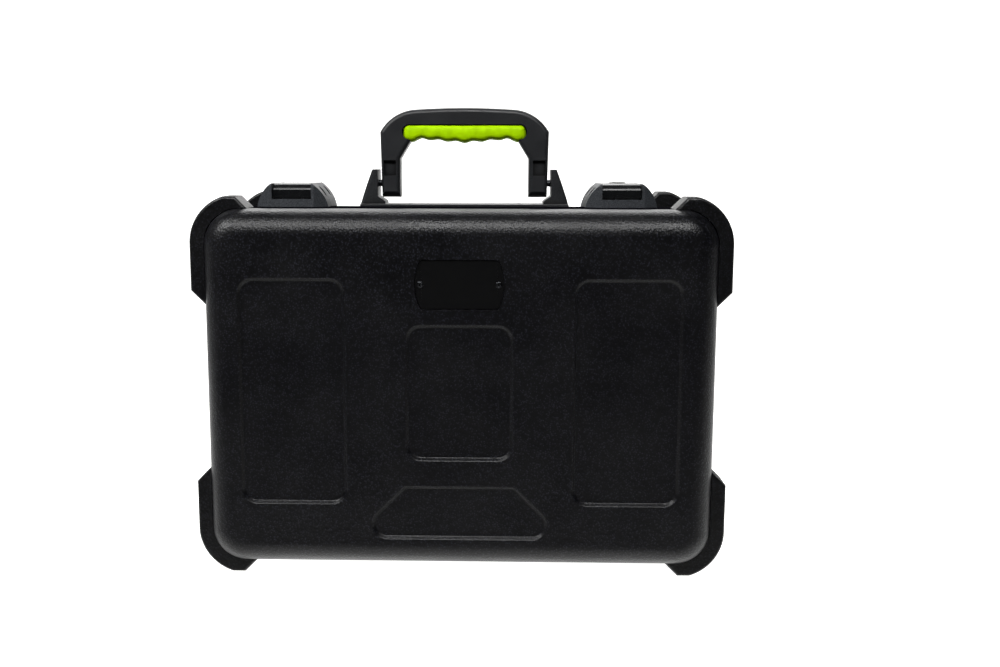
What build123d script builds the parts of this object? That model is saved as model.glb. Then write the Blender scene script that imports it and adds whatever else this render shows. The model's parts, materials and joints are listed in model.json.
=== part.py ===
from build123d import *
from math import acos, atan2, cos, pi, radians, sin, sqrt, tan
import os

os.makedirs("parts", exist_ok=True)

# Moulded case, mm. X runs across the case, Y from lid to base, Z up; the floor is Z = 0.
CASE_W = 434.0
CASE_H = 308.0
LID_DEPTH = 70.0
BASE_DEPTH = 142.0
BASE_DRAFT = 3.0
WALL = 4.0
CORNER_R = 31.0
FACE_R = 22.0
BASE_FACE_R = 18.0
LID_FACE = -(LID_DEPTH + BASE_DEPTH) / 2
PART_Y = LID_FACE + LID_DEPTH
BASE_FACE = -LID_FACE

# Corner bumpers.
BUMP_DEPTH = 28.0
BUMP_INSET = 18.0
BUMP_SIDE = 12.7
BUMP_TOP = 10.0
BUMP_FOOT = 12.0
BUMP_R = 42.0
BUMP_FLAT = 2.0
BUMP_EDGE = 2.6
BUMP_LEG_X = 27.2
BUMP_LEG_Z = 70.0
BUMP_FIT = 1.0
BUMP_SINK = 9.0
SHELL_Z0 = BUMP_FOOT
SHELL_Z1 = SHELL_Z0 + CASE_H
ZC = SHELL_Z0 + CASE_H / 2

# Recessed panels in the lid and base faces.
STEP_D = 3.0
STEP_W = 2.4
PANEL_R = 13.0
STEP_SOFT = 1.8
STEP_ROOT = 1.6
PANEL_CLEAR = 1.0
SIDE_MARGIN = 31.4
SIDE_W = 90.2
SIDE_X = CASE_W / 2 - SIDE_MARGIN - SIDE_W / 2
SIDE_END = 57.0
SIDE_H = CASE_H - 2 * SIDE_END
MID_W = 90.2
MID_END = 95.7
MID_H = CASE_H - 2 * MID_END
TRAP_FOOT = 26.4
TRAP_H = 46.8
TRAP_TOP = 46.8
TRAP_BOT = TRAP_TOP + TRAP_H
TRAP_TOP_R = 7.0
TRAP_BOT_R = 13.2
BADGE_DROP = 61.8
BADGE_Z = SHELL_Z1 - BADGE_DROP
BADGE_W = 64.8
BADGE_H = 41.6
BADGE_BOW = 5.2
BADGE_D = 2.5
BADGE_T = 1.2
BADGE_GAP = 0.4
BADGE_SCREW_X = 32.7
BADGE_SCREW_R = 2.9
BADGE_SCREW_H = 1.2
BADGE_SCREW_HOLE = 1.3
FIT = 0.05

# Parting valances: a tongue on the base in a groove on the lid.
SEAM = 0.4
VAL_SET = 1.0
VAL_IN = 6.5
VAL_LID = 5.0
VAL_BASE = 3.0
VAL_WEB = 12.0
VAL_GAP = 0.1
TONGUE_OUT = 2.5
TONGUE_T = 2.0
TONGUE_H = 3.0
GROOVE_GAP = 0.6

# Hinges under the case.
HINGE_MARGIN = 97.0
HINGE_X = CASE_W / 2 - HINGE_MARGIN
HINGE_SINK = 2.5
HINGE_L = 60.0
KNUCKLE_R = 4.0
KNUCKLE_L = 29.4
KNUCKLE_GAP = 0.3
PIN_R = 2.0
LEAF_T = 1.5
LEAF_W = 26.0
HINGE_Z = SHELL_Z0 - KNUCKLE_R - 1.2
LEAF_EDGE = 0.6

# Foam inserts.
FOAM_OFF = 7.2
LID_FOAM_T = 20.8
FOAM_R = 14.0
FOAM_DROP = 11.0
BASE_FOAM_Y = PART_Y + FOAM_DROP
MIC_R = 26.0
MIC_FLOOR = 32.0
MIC_DEPTH = BASE_DEPTH - MIC_FLOOR
MIC_PITCH_X = 59.0
MIC_PITCH_Z = 88.0
MIC_MARGIN = 46.0
MIC_X0 = MIC_MARGIN - CASE_W / 2
MIC_COLS = 5
MIC_ROWS = 3
BAY_GAP = 15.0
BAY_X0 = MIC_X0 + (MIC_COLS - 1) * MIC_PITCH_X + MIC_R + BAY_GAP
BAY_MARGIN = 23.0
BAY_X1 = CASE_W / 2 - BAY_MARGIN
BAY_END = 29.0
BAY_H = CASE_H - 2 * BAY_END
BAY_R = 12.0
FOAM_BACK = 0.3

# Handle and its bracket.
HANDLE_BACK = 68.0
HANDLE_Y = PART_Y + HANDLE_BACK
PIVOT_H = 19.0
PIVOT_Z = SHELL_Z1 + PIVOT_H
HANDLE_PIN_R = 3.2
HANDLE_T = 22.0
HANDLE_TOP = 70.5
HANDLE_HALF = 79.6
ARM_LEAN = 1.6
ARM_FOOT_HALF = HANDLE_HALF - ARM_LEAN
ARM_W = 19.1
ARM_IN = HANDLE_HALF - ARM_W
ARM_BELOW = 13.3
HANDLE_CORNER_R = 41.0
CORNER_OVER = 5.2
CROWN = 1.5
GRIP_END = 20.9
GRIP_HALF = HANDLE_HALF - GRIP_END
GRIP_H = 13.8
BAR_H = 15.6
INNER_SLANT = 11.0
INNER_TOP = ARM_IN - INNER_SLANT
INNER_START = 23.0
GRIP_T = 25.0
GRIP_FIT = 0.1
GRIP_BELLY = 3.6
SCALLOPS = 6
SCALLOP_PITCH = 16.4
SCALLOP_R = 15.0
SCALLOP_D = 1.2
HANDLE_SOFT = 4.5
POCKET_SET = 9.1
POCKET_X = HANDLE_HALF - POCKET_SET
POCKET_W = 11.8
POCKET_LOW = 7.0
POCKET_H = 14.5
POCKET_D = 3.5
POST_GAP = 2.1
POST_IN = HANDLE_HALF + POST_GAP
POST_LAND = 5.3
POST_TOP = POST_IN + POST_LAND
POST_SPREAD = 11.2
POST_FOOT = POST_TOP + POST_SPREAD
POST_BOW = 0.3
POST_H = 13.0
POST_T = 28.0
POST_EDGE = 2.2
FLARE_W = 7.2
FLARE_X = POST_IN - FLARE_W
FLARE_Z = 7.5
FLARE_LIP = 2.5
PLATE_TOP = -0.5
PLATE_SINK = 6.0
PLATE_W = 36.0
PIN_END = 14.0
PIN_CAP = 4.0

# Latches across the parting line.
LATCH_MARGIN_LEFT = 69.1
LATCH_MARGIN_RIGHT = 78.1
LATCH_X = {"left": LATCH_MARGIN_LEFT - CASE_W / 2, "right": CASE_W / 2 - LATCH_MARGIN_RIGHT}
LATCH_SINK = 2.5
DOME_FOOT = 31.2
DOME_TOP = 17.9
DOME_H = 20.3
DOME_BOW = 2.1
CHEEK_X = 19.6
CHEEK_BACK = 6.5
LID_BEZEL = 22.5
BASE_BEZEL = 32.0
WINDOW = 17.2
SILL = 6.7
LEVER_HALF = 16.7
NOSE_R = 8.5
NOSE_FLAT = 2.7
NOSE_GAP = 0.3
PIVOT_BACK = 10.5
LEVER_Z = DOME_H - NOSE_R
LEVER_T = 3.4
LEVER_END = 6.0
LEVER_PIN_R = 2.0
LEVER_PIN_HALF = 22.0
HOOK_PIN_R = 1.6
HOOK_PIN_D = 20.0
EAR_IN = 12.6
EAR_OUT = 16.2
EAR_R = 4.2
HOOK_HALF = 12.0
HOOK_R = 3.6
HOOK_REACH = 13.2
HOOK_T = 3.4
HOOK_LIP = 3.6
KEEPER_H = 5.0
KEEPER_T = 3.4
KEEPER_GAP = 0.5
FLOOR_T = 1.4
BEZEL_SOFT = 1.6
SCREW_X = 24.6
SCREW_WELL_R = 3.4
SCREW_WELL_Z = 3.4
SCREW_R = 1.5
SCREW_HEAD_R = 2.9
SCREW_HEAD_H = 2.2
SCREW_EDGE = 0.8
LOCK_R = 4.4
LOCK_HEAD_R = 7.4
LOCK_PROUD = 1.0
LOCK_EDGE = 0.4
LOCK_BACK = 15.0
CAM_T = 1.2
CAM_L = 6.6
CAM_W = 4.0
KEYWAY_W = 1.0
KEYWAY_L = 4.4
KEYWAY_D = 1.2


def across(sketch, y0, y1):
    """Solid with the given X-Z outline, from y0 to y1."""
    return extrude(Plane(origin=(0, y1, 0), x_dir=(1, 0, 0), z_dir=(0, -1, 0)) * sketch, amount=y1 - y0)


def along(sketch, half, x=0.0):
    """Solid with the given Y-Z outline, reaching half to each side of x."""
    return Pos(x, 0, 0) * extrude(Plane.YZ * sketch, amount=half, both=True)


def rod(radius, x0, x1, y, z):
    """Round bar along X."""
    return along(Pos(y, z) * Circle(radius), (x1 - x0) / 2, (x0 + x1) / 2)


def stud(radius, z0, z1, x, y):
    """Round bar along Z."""
    return Pos(x, y, (z0 + z1) / 2) * Cylinder(radius, z1 - z0)


def block(x0, x1, y0, y1, z0, z1):
    """Box between the given limits."""
    return Pos((x0 + x1) / 2, (y0 + y1) / 2, (z0 + z1) / 2) * Box(x1 - x0, y1 - y0, z1 - z0)


def outline(inset, fit=0.0):
    """The case outline, moved inwards, with its corners drawn out by a fit."""
    return Pos(0, ZC) * RectangleRounded(CASE_W - 2 * inset, CASE_H - 2 * inset, CORNER_R - inset - fit)


def face_at(sketch, y):
    """Flat face with the given X-Z outline at one depth."""
    return (Plane(origin=(0, y, 0), x_dir=(1, 0, 0), z_dir=(0, -1, 0)) * sketch).face()


def taper(y):
    """How far the walls of the base have drawn in at one depth."""
    return (y - PART_Y) * tan(radians(BASE_DRAFT))


def lid_block(inset, y0, y1, fit=0.0):
    """Block with the lid's straight walls."""
    return across(outline(inset, fit), y0, y1)


def base_block(inset, y0, y1, fit=0.0):
    """Block with the base's drawn-in walls."""
    return loft([face_at(outline(inset + taper(y), fit), y) for y in (y0, y1)], ruled=True)


def panel(kind, grow):
    """Outline of one recessed panel, grown by an amount."""
    if kind == "trapezoid":
        return trapezoid(grow)
    if kind == "middle":
        return Pos(0, ZC) * RectangleRounded(MID_W + 2 * grow, MID_H + 2 * grow, PANEL_R + grow)
    x = -SIDE_X if kind == "left" else SIDE_X
    return Pos(x, ZC) * RectangleRounded(SIDE_W + 2 * grow, SIDE_H + 2 * grow, PANEL_R + grow)


def trapezoid(grow):
    """Panel at the foot of the lid, with 45-degree sides."""
    top = TRAP_TOP + grow * tan(pi / 8)
    bot = TRAP_BOT + grow / tan(pi / 8)
    low = SHELL_Z0 + TRAP_FOOT - grow
    high = SHELL_Z0 + TRAP_FOOT + TRAP_H + grow
    corners = Polygon((-bot, low), (bot, low), (top, high), (-top, high), align=None)
    corners = fillet(corners.vertices().group_by(Axis.Y)[-1], TRAP_TOP_R + grow)
    return fillet(corners.vertices().group_by(Axis.Y)[0], TRAP_BOT_R + grow)


def badge_outline(grow):
    """Badge seat: straight top and bottom, bowed ends."""
    w = BADGE_W / 2 + grow
    h = BADGE_H / 2 + grow
    z = BADGE_Z
    edges = [
        Line((-w, z - h), (w, z - h)),
        ThreePointArc((w, z - h), (w + BADGE_BOW, z), (w, z + h)),
        Line((w, z + h), (-w, z + h)),
        ThreePointArc((-w, z + h), (-w - BADGE_BOW, z), (-w, z - h)),
    ]
    return make_face(edges)


def soft_face(block, end, radius):
    """Round the edges of one end of a block: 0 is the lid's face, -1 the base's."""
    return fillet(block.edges().group_by(Axis.Y)[end], radius)


def step_panels(shell, face, way, edge, panels):
    """Step panels into a flat face whose rounded edge is edge wide."""
    for kind in panels:
        ends = sorted((face + way * WALL, face + way * (WALL + STEP_D)))
        shell += across(panel(kind, WALL - STEP_W), ends[0], ends[1])
    for kind in panels:
        mouth = face_at(panel(kind, 0), face)
        floor = face_at(panel(kind, -STEP_W), face + way * STEP_D)
        shell -= loft([mouth, floor], ruled=True)
    shell = fillet(step_edges(shell, face, edge), STEP_SOFT)
    return fillet(step_edges(shell, face + way * STEP_D, edge), STEP_ROOT)


def step_edges(shell, y, edge):
    """Edges of the panel steps that lie at one depth, clear of the rounded edge."""
    reach_x = CASE_W / 2 - edge - PANEL_CLEAR
    reach_z = CASE_H / 2 - edge - PANEL_CLEAR
    level = [e for e in shell.edges() if e.bounding_box().size.Y < FIT and abs(e.center().Y - y) < FIT]
    return [e for e in level if abs(e.center().X) < reach_x and abs(e.center().Z - ZC) < reach_z]


def lid_shell():
    """Lid moulding with its panels and the badge seat."""
    rim = PART_Y - VAL_LID
    shell = soft_face(lid_block(0, LID_FACE, rim), 0, FACE_R)
    shell -= soft_face(lid_block(WALL, LID_FACE + WALL, rim), 0, FACE_R - WALL)
    shell = step_panels(shell, LID_FACE, 1, FACE_R, ("left", "right", "middle", "trapezoid"))
    return shell - across(badge_outline(0), LID_FACE, LID_FACE + BADGE_D) - badge_holes()


def badge_holes():
    """The two screw holes behind the badge."""
    places = (-BADGE_SCREW_X, BADGE_SCREW_X)
    return Compound([hole_y(x, BADGE_Z, BADGE_SCREW_HOLE, LID_FACE, LID_FACE + WALL) for x in places])


def hole_y(x, z, radius, y0, y1):
    """Round bar along Y."""
    return across(Pos(x, z) * Circle(radius), y0, y1)


def base_shell():
    """Deep half of the case with panels in its rear face."""
    rim = PART_Y + VAL_BASE
    shell = soft_face(base_block(0, rim, BASE_FACE), -1, BASE_FACE_R)
    shell -= soft_face(base_block(WALL, rim, BASE_FACE - WALL), -1, BASE_FACE_R - WALL)
    edge = taper(BASE_FACE) + BASE_FACE_R
    return step_panels(shell, BASE_FACE, -1, edge, ("left", "right", "middle"))


def ring(outer, inner, y0, y1):
    """Frame between two insets of the case outline."""
    return across(outline(outer), y0, y1) - across(outline(inner), y0, y1)


def lid_valance():
    """Grooved edge frame of the lid."""
    rim = PART_Y - SEAM / 2
    frame = ring(VAL_SET, VAL_IN, PART_Y - VAL_LID, rim)
    frame += ring(WALL + VAL_GAP, VAL_IN, PART_Y - VAL_LID - VAL_WEB, PART_Y - VAL_LID)
    inner = TONGUE_OUT + TONGUE_T + GROOVE_GAP
    groove = ring(TONGUE_OUT - GROOVE_GAP, inner, rim - TONGUE_H - GROOVE_GAP, rim)
    return frame - groove


def base_valance():
    """Tongued edge frame of the base."""
    rim = PART_Y + SEAM / 2
    frame = ring(VAL_SET, VAL_IN, rim, PART_Y + VAL_BASE)
    web = base_block(WALL + VAL_GAP, PART_Y + VAL_BASE, PART_Y + VAL_BASE + VAL_WEB)
    frame += web - across(outline(VAL_IN), PART_Y, PART_Y + VAL_BASE + VAL_WEB)
    return frame + ring(TONGUE_OUT, TONGUE_OUT + TONGUE_T, rim - TONGUE_H, rim)


def bumper(side, up, y0, core):
    """Corner bumper: a thick L-shaped guard with 45-degree ends, hollowed by the case."""
    rise = BUMP_TOP if up > 0 else BUMP_FOOT
    cu = BUMP_SIDE - BUMP_R
    cv = rise + BUMP_FLAT - BUMP_R
    lift = BUMP_R - BUMP_FLAT
    start = acos(lift / BUMP_R)
    mid = (pi / 2 - start) / 2
    run = cu + sqrt(BUMP_R**2 - lift**2)
    end_x = -BUMP_LEG_X - rise - BUMP_SINK
    end_z = -BUMP_LEG_Z - BUMP_SIDE - BUMP_SINK

    def at(u, v):
        return (side * (CASE_W / 2 + u), ZC + up * (CASE_H / 2 + v))

    edges = [
        Line(at(end_x, -BUMP_SINK), at(-BUMP_LEG_X, rise)),
        Line(at(-BUMP_LEG_X, rise), at(run, rise)),
        ThreePointArc(at(run, rise), at(cu + BUMP_R * cos(mid), cv + BUMP_R * sin(mid)), at(BUMP_SIDE, cv)),
        Line(at(BUMP_SIDE, cv), at(BUMP_SIDE, -BUMP_LEG_Z)),
        Line(at(BUMP_SIDE, -BUMP_LEG_Z), at(-BUMP_SINK, end_z)),
        Line(at(-BUMP_SINK, end_z), at(end_x, -BUMP_SINK)),
    ]
    body = across(make_face(edges), y0, y0 + BUMP_DEPTH)
    ends = body.edges().group_by(Axis.Y)
    outside = [e for e in list(ends[0]) + list(ends[-1]) if outer_edge(e, side, up)]
    return fillet(outside, BUMP_EDGE) - core


def outer_edge(edge, side, up):
    """True for an edge on the outside of a bumper."""
    mid = edge.center()
    return side * mid.X > CASE_W / 2 - BUMP_SINK or up * (mid.Z - ZC) > CASE_H / 2 - BUMP_SINK


def badge_plate():
    """Plain plate in the badge seat."""
    plate = across(badge_outline(-BADGE_GAP), LID_FACE + BADGE_D - BADGE_T, LID_FACE + BADGE_D)
    return plate - badge_holes()


def badge_screw(x):
    """Round-head screw through the badge into the lid."""
    seat = LID_FACE + BADGE_D - BADGE_T
    head = hole_y(x, BADGE_Z, BADGE_SCREW_R, seat - BADGE_SCREW_H, seat)
    head = chamfer(head.edges().group_by(Axis.Y)[0], SCREW_EDGE)
    return head + hole_y(x, BADGE_Z, BADGE_SCREW_HOLE - FIT, seat, LID_FACE + WALL)


def badge_screws():
    """Both badge screws."""
    return Compound([badge_screw(-BADGE_SCREW_X), badge_screw(BADGE_SCREW_X)])


def knuckle(x0, x1, way):
    """Hinge barrel with the web that ties it to its leaf."""
    far = PART_Y + way * (KNUCKLE_R + LEAF_EDGE + LEAF_T)
    tie = block(x0, x1, min(PART_Y, far), max(PART_Y, far), HINGE_Z, SHELL_Z0)
    return rod(KNUCKLE_R, x0, x1, PART_Y, HINGE_Z) + tie


def leaf(x, way):
    """Flat hinge leaf under the case, without its barrels."""
    near = PART_Y + way * (KNUCKLE_R + LEAF_EDGE)
    far = near + way * LEAF_W
    half = HINGE_L / 2
    return block(x - half, x + half, min(near, far), max(near, far), SHELL_Z0 - LEAF_T, SHELL_Z0 + HINGE_SINK)


def hinge_bore(x):
    """Running bore for the hinge pin."""
    return rod(PIN_R + FIT, x - HINGE_L / 2, x + HINGE_L / 2, PART_Y, HINGE_Z)


def hinge_lid(x):
    """Lid leaf with the middle barrel."""
    half = KNUCKLE_L / 2
    plate = leaf(x, -1) - lid_block(0, LID_FACE, PART_Y)
    return plate + knuckle(x - half, x + half, -1) - hinge_bore(x)


def hinge_base(x):
    """Base leaf with a barrel at each end."""
    inner = KNUCKLE_L / 2 + KNUCKLE_GAP
    plate = leaf(x, 1) - base_block(0, PART_Y, BASE_FACE)
    barrels = knuckle(x - HINGE_L / 2, x - inner, 1) + knuckle(x + inner, x + HINGE_L / 2, 1)
    return plate + barrels - hinge_bore(x)


def hinge_pin(x):
    """Steel pin through all three barrels."""
    return rod(PIN_R, x - HINGE_L / 2, x + HINGE_L / 2, PART_Y, HINGE_Z)


def lid_foam():
    """Foam pad behind the lid face."""
    back = LID_FACE + WALL + STEP_D + FOAM_BACK
    return soft_face(lid_block(FOAM_OFF, back, back + LID_FOAM_T), 0, FOAM_R)


def base_foam():
    """Foam block with a bore for each microphone and a tray bay."""
    back = BASE_FACE - WALL - STEP_D - FOAM_BACK
    body = soft_face(base_block(FOAM_OFF, BASE_FOAM_Y, back), -1, FOAM_R)
    for col in range(MIC_COLS):
        for row in range(MIC_ROWS):
            x = MIC_X0 + col * MIC_PITCH_X
            z = ZC + (row - (MIC_ROWS - 1) / 2) * MIC_PITCH_Z
            body -= hole_y(x, z, MIC_R, BASE_FOAM_Y, BASE_FOAM_Y + MIC_DEPTH)
    bay = Pos((BAY_X0 + BAY_X1) / 2, ZC) * RectangleRounded(BAY_X1 - BAY_X0, BAY_H, BAY_R)
    return body - across(bay, BASE_FOAM_Y, BASE_FOAM_Y + MIC_DEPTH)


def handle_half_outline():
    """Right half of the handle's outline: crowned top, corner arc, arm and slanted inner corner."""
    top = PIVOT_Z + HANDLE_TOP
    foot = PIVOT_Z - ARM_BELOW
    under = top - BAR_H - GRIP_H
    cx = HANDLE_HALF + CORNER_OVER - HANDLE_CORNER_R
    cz = top - CROWN - HANDLE_CORNER_R
    lean = atan2(cx, (cx**2 - CROWN**2) / (2 * CROWN))
    end = acos((HANDLE_HALF - cx) / HANDLE_CORNER_R)
    crown_r = HANDLE_CORNER_R + (cx**2 + CROWN**2) / (2 * CROWN)

    def on_corner(angle):
        return (cx + HANDLE_CORNER_R * cos(angle), cz + HANDLE_CORNER_R * sin(angle))

    half = lean / 2
    crown_mid = (crown_r * sin(half), top - crown_r * (1 - cos(half)))
    start = pi / 2 - lean
    return [
        ThreePointArc((0, top), crown_mid, on_corner(start)),
        ThreePointArc(on_corner(start), on_corner((start + end) / 2), on_corner(end)),
        Line(on_corner(end), (ARM_FOOT_HALF, foot)),
        Line((ARM_FOOT_HALF, foot), (ARM_IN, foot)),
        Line((ARM_IN, foot), (ARM_IN, PIVOT_Z + INNER_START)),
        Line((ARM_IN, PIVOT_Z + INNER_START), (INNER_TOP, under)),
        Line((INNER_TOP, under), (0, under)),
        Line((0, under), (0, top)),
    ]


def grip_slot(grow):
    """Round-ended seat of the grip in the handle bar."""
    z = PIVOT_Z + HANDLE_TOP - BAR_H - GRIP_H / 2
    w = 2 * (GRIP_HALF + grow)
    h = GRIP_H + 2 * grow
    return Pos(0, z) * RectangleRounded(w, h, h / 2 - FIT)


def handle_frame():
    """Rigid handle: bar, corners and two arms."""
    half = make_face(handle_half_outline())
    face = half + mirror(half, about=Plane.YZ)
    body = across(face, HANDLE_Y - HANDLE_T / 2, HANDLE_Y + HANDLE_T / 2)
    ends = body.edges().group_by(Axis.Y)
    body = fillet(list(ends[0]) + list(ends[-1]), HANDLE_SOFT) - arm_waste()
    under = PIVOT_Z + HANDLE_TOP - BAR_H - GRIP_H
    y0 = HANDLE_Y - HANDLE_T
    y1 = HANDLE_Y + HANDLE_T
    body -= across(grip_slot(GRIP_FIT), y0, y1)
    body -= block(-INNER_TOP, INNER_TOP, y0, y1, under - FIT, under + GRIP_H / 2)
    for side in (-1, 1):
        for face_y in (HANDLE_Y - HANDLE_T / 2, HANDLE_Y + HANDLE_T / 2):
            body -= arm_pocket(side * POCKET_X, face_y)
        body -= handle_pin_bore(side)
    return body


def arm_pocket(x, face_y):
    """Core-out pocket in one face of a handle arm."""
    half = POCKET_W / 2
    low = PIVOT_Z + POCKET_LOW
    return block(x - half, x + half, face_y - POCKET_D, face_y + POCKET_D, low, low + POCKET_H)


def arm_waste():
    """What is cut away below the pivots to leave the arm ends round."""
    waste = block(-POST_IN, POST_IN, HANDLE_Y - HANDLE_T, HANDLE_Y + HANDLE_T, SHELL_Z1, PIVOT_Z)
    return waste - rod(ARM_BELOW, -POST_IN, POST_IN, HANDLE_Y, PIVOT_Z)


def handle_pin_bore(side):
    """Running bore for one handle pin."""
    inner = POST_TOP - PIN_END - PIN_CAP - FIT
    ends = sorted((side * inner, side * POST_FOOT))
    return rod(HANDLE_PIN_R + FIT, ends[0], ends[1], HANDLE_Y, PIVOT_Z)


def handle_pin(side):
    """Pin from the post into the handle arm."""
    inner = POST_TOP - PIN_END - PIN_CAP
    ends = sorted((side * inner, side * POST_TOP))
    return rod(HANDLE_PIN_R, ends[0], ends[1], HANDLE_Y, PIVOT_Z)


def handle_grip():
    """Soft grip under the bar, with a full belly and finger scallops."""
    y0 = HANDLE_Y - GRIP_T / 2
    y1 = HANDLE_Y + GRIP_T / 2
    under = PIVOT_Z + HANDLE_TOP - BAR_H - GRIP_H
    chord = Line((INNER_TOP, under), (-INNER_TOP, under))
    sag = ThreePointArc((-INNER_TOP, under), (0, under - GRIP_BELLY), (INNER_TOP, under))
    body = across(grip_slot(0), y0, y1) + across(make_face([chord, sag]), y0, y1)
    for i in range(SCALLOPS):
        x = (i - (SCALLOPS - 1) / 2) * SCALLOP_PITCH
        low = under - GRIP_BELLY * (1 - (x / INNER_TOP) ** 2)
        body -= hole_y(x, low - SCALLOP_R + SCALLOP_D, SCALLOP_R, y0, y1)
    return body


def post(side):
    """Bracket ear that carries one end of the handle."""
    top = PIVOT_Z + POST_H
    foot = SHELL_Z1 + PLATE_TOP
    mid = ((POST_FOOT + POST_TOP) / 2 + POST_BOW, (top + foot) / 2)

    def at(x, z):
        return (side * x, z)

    edges = [
        Line(at(POST_IN, top), at(POST_TOP, top)),
        ThreePointArc(at(POST_TOP, top), at(*mid), at(POST_FOOT, foot)),
        Line(at(POST_FOOT, foot), at(FLARE_X, foot)),
        Line(at(FLARE_X, foot), at(FLARE_X, foot + FLARE_LIP)),
        Line(at(FLARE_X, foot + FLARE_LIP), at(POST_IN, foot + FLARE_Z)),
        Line(at(POST_IN, foot + FLARE_Z), at(POST_IN, top)),
    ]
    body = across(make_face(edges), HANDLE_Y - POST_T / 2, HANDLE_Y + POST_T / 2)
    ends = body.edges().group_by(Axis.Y)
    return chamfer([e for e in list(ends[0]) + list(ends[-1]) if side * e.center().X > POST_TOP], POST_EDGE)


def handle_bracket():
    """Base plate with both ears."""
    y0 = HANDLE_Y - PLATE_W / 2
    y1 = HANDLE_Y + PLATE_W / 2
    plate = block(-POST_FOOT, POST_FOOT, y0, y1, SHELL_Z1 - PLATE_SINK, SHELL_Z1 + PLATE_TOP)
    body = plate - base_block(0, PART_Y, BASE_FACE) + post(-1) + post(1)
    for side in (-1, 1):
        ends = sorted((side * (POST_IN - FIT), side * POST_FOOT))
        body -= rod(HANDLE_PIN_R + FIT, ends[0], ends[1], HANDLE_Y, PIVOT_Z)
    return body


def dome(y0, y1):
    """Latch housing block with a domed cross-section, on the case top at x = 0."""
    mid = ((DOME_FOOT + DOME_TOP) / 2 + DOME_BOW, DOME_H / 2 + DOME_BOW / 2)
    edges = [
        Line((-DOME_FOOT, 0), (-DOME_FOOT, -LATCH_SINK)),
        Line((-DOME_FOOT, -LATCH_SINK), (DOME_FOOT, -LATCH_SINK)),
        Line((DOME_FOOT, -LATCH_SINK), (DOME_FOOT, 0)),
        ThreePointArc((DOME_FOOT, 0), mid, (DOME_TOP, DOME_H)),
        Line((DOME_TOP, DOME_H), (-DOME_TOP, DOME_H)),
        ThreePointArc((-DOME_TOP, DOME_H), (-mid[0], mid[1]), (-DOME_FOOT, 0)),
    ]
    return across(make_face(edges), y0, y1)


def screw_well(x, y):
    """Counterbored screw hole in a latch housing."""
    well = stud(SCREW_WELL_R, SCREW_WELL_Z, DOME_H, x, y)
    return well + stud(SCREW_R + FIT, -LATCH_SINK, SCREW_WELL_Z, x, y)


def latch_screw(x, y):
    """Pan-head screw at the bottom of its well."""
    head = stud(SCREW_HEAD_R, SCREW_WELL_Z, SCREW_WELL_Z + SCREW_HEAD_H, x, y)
    head = chamfer(head.edges().group_by(Axis.Z)[-1], SCREW_EDGE)
    return head + stud(SCREW_R, 0, SCREW_WELL_Z, x, y)


LEVER_Y = PART_Y - PIVOT_BACK
BEZEL_Y = PART_Y - LID_BEZEL
LID_SCREW_Y = PART_Y - LID_BEZEL / 4
BASE_SCREW_Y = PART_Y + BASE_BEZEL / 2


def cheek_waste(side):
    """What is cut away in front to turn one cheek back."""
    corners = [(CHEEK_X, BEZEL_Y), (DOME_FOOT, BEZEL_Y), (DOME_FOOT, BEZEL_Y + CHEEK_BACK)]
    plan = Polygon(*[(side * x, y) for x, y in corners], align=None)
    return Pos(0, 0, -LATCH_SINK) * extrude(plan, amount=LATCH_SINK + DOME_H, dir=(0, 0, 1))


def latch_lid():
    """Lid half of a latch housing: two cheeks joined by a low sill."""
    body = dome(BEZEL_Y, PART_Y - SEAM / 2)
    body -= cheek_waste(-1) + cheek_waste(1)
    front = body.edges().group_by(Axis.Y)[0].filter_by(lambda e: e.center().Z > FIT)
    body = fillet(front, BEZEL_SOFT)
    body -= block(-WINDOW, WINDOW, BEZEL_Y, PART_Y, SILL, DOME_H)
    body -= rod(NOSE_R + NOSE_GAP, -WINDOW, WINDOW, LEVER_Y, LEVER_Z)
    body -= block(-WINDOW, WINDOW, LEVER_Y, PART_Y, FLOOR_T, DOME_H)
    body -= rod(LEVER_PIN_R + FIT, -LEVER_PIN_HALF - FIT, LEVER_PIN_HALF + FIT, LEVER_Y, LEVER_Z)
    for side in (-1, 1):
        body -= screw_well(side * SCREW_X, LID_SCREW_Y)
    return body


def latch_base():
    """Base half of a latch housing, with the keeper rib on its floor."""
    back = PART_Y + BASE_BEZEL
    body = dome(PART_Y + SEAM / 2, back)
    rear = body.edges().group_by(Axis.Y)[-1].filter_by(lambda e: e.center().Z > FIT)
    body = fillet(rear, BEZEL_SOFT)
    body -= block(-WINDOW, WINDOW, PART_Y, back, FLOOR_T, DOME_H)
    body += block(-HOOK_HALF, HOOK_HALF, keeper_y(), keeper_y() + KEEPER_T, FLOOR_T, KEEPER_H)
    for side in (-1, 1):
        body -= screw_well(side * SCREW_X, BASE_SCREW_Y)
    return body


def keeper_y():
    """Front of the keeper rib."""
    return LEVER_Y + HOOK_PIN_D + HOOK_REACH - HOOK_LIP - KEEPER_GAP - KEEPER_T


def lever():
    """Latch lever: round nose on the pin, cover plate and two hook ears."""
    end = PART_Y + BASE_BEZEL - LEVER_END
    body = rod(NOSE_R, -LEVER_HALF, LEVER_HALF, LEVER_Y, LEVER_Z) - nose_waste()
    body += block(-LEVER_HALF, LEVER_HALF, LEVER_Y, end, DOME_H - LEVER_T, DOME_H)
    pin_y = LEVER_Y + HOOK_PIN_D
    for side in (-1, 1):
        x0, x1 = sorted((side * EAR_IN, side * EAR_OUT))
        body += rod(EAR_R, x0, x1, pin_y, LEVER_Z)
        body += block(x0, x1, pin_y - EAR_R, pin_y + EAR_R, LEVER_Z, DOME_H - LEVER_T)
    body -= rod(LEVER_PIN_R + FIT, -LEVER_HALF, LEVER_HALF, LEVER_Y, LEVER_Z)
    return body - rod(HOOK_PIN_R + FIT, -EAR_OUT, EAR_OUT, pin_y, LEVER_Z)


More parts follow.
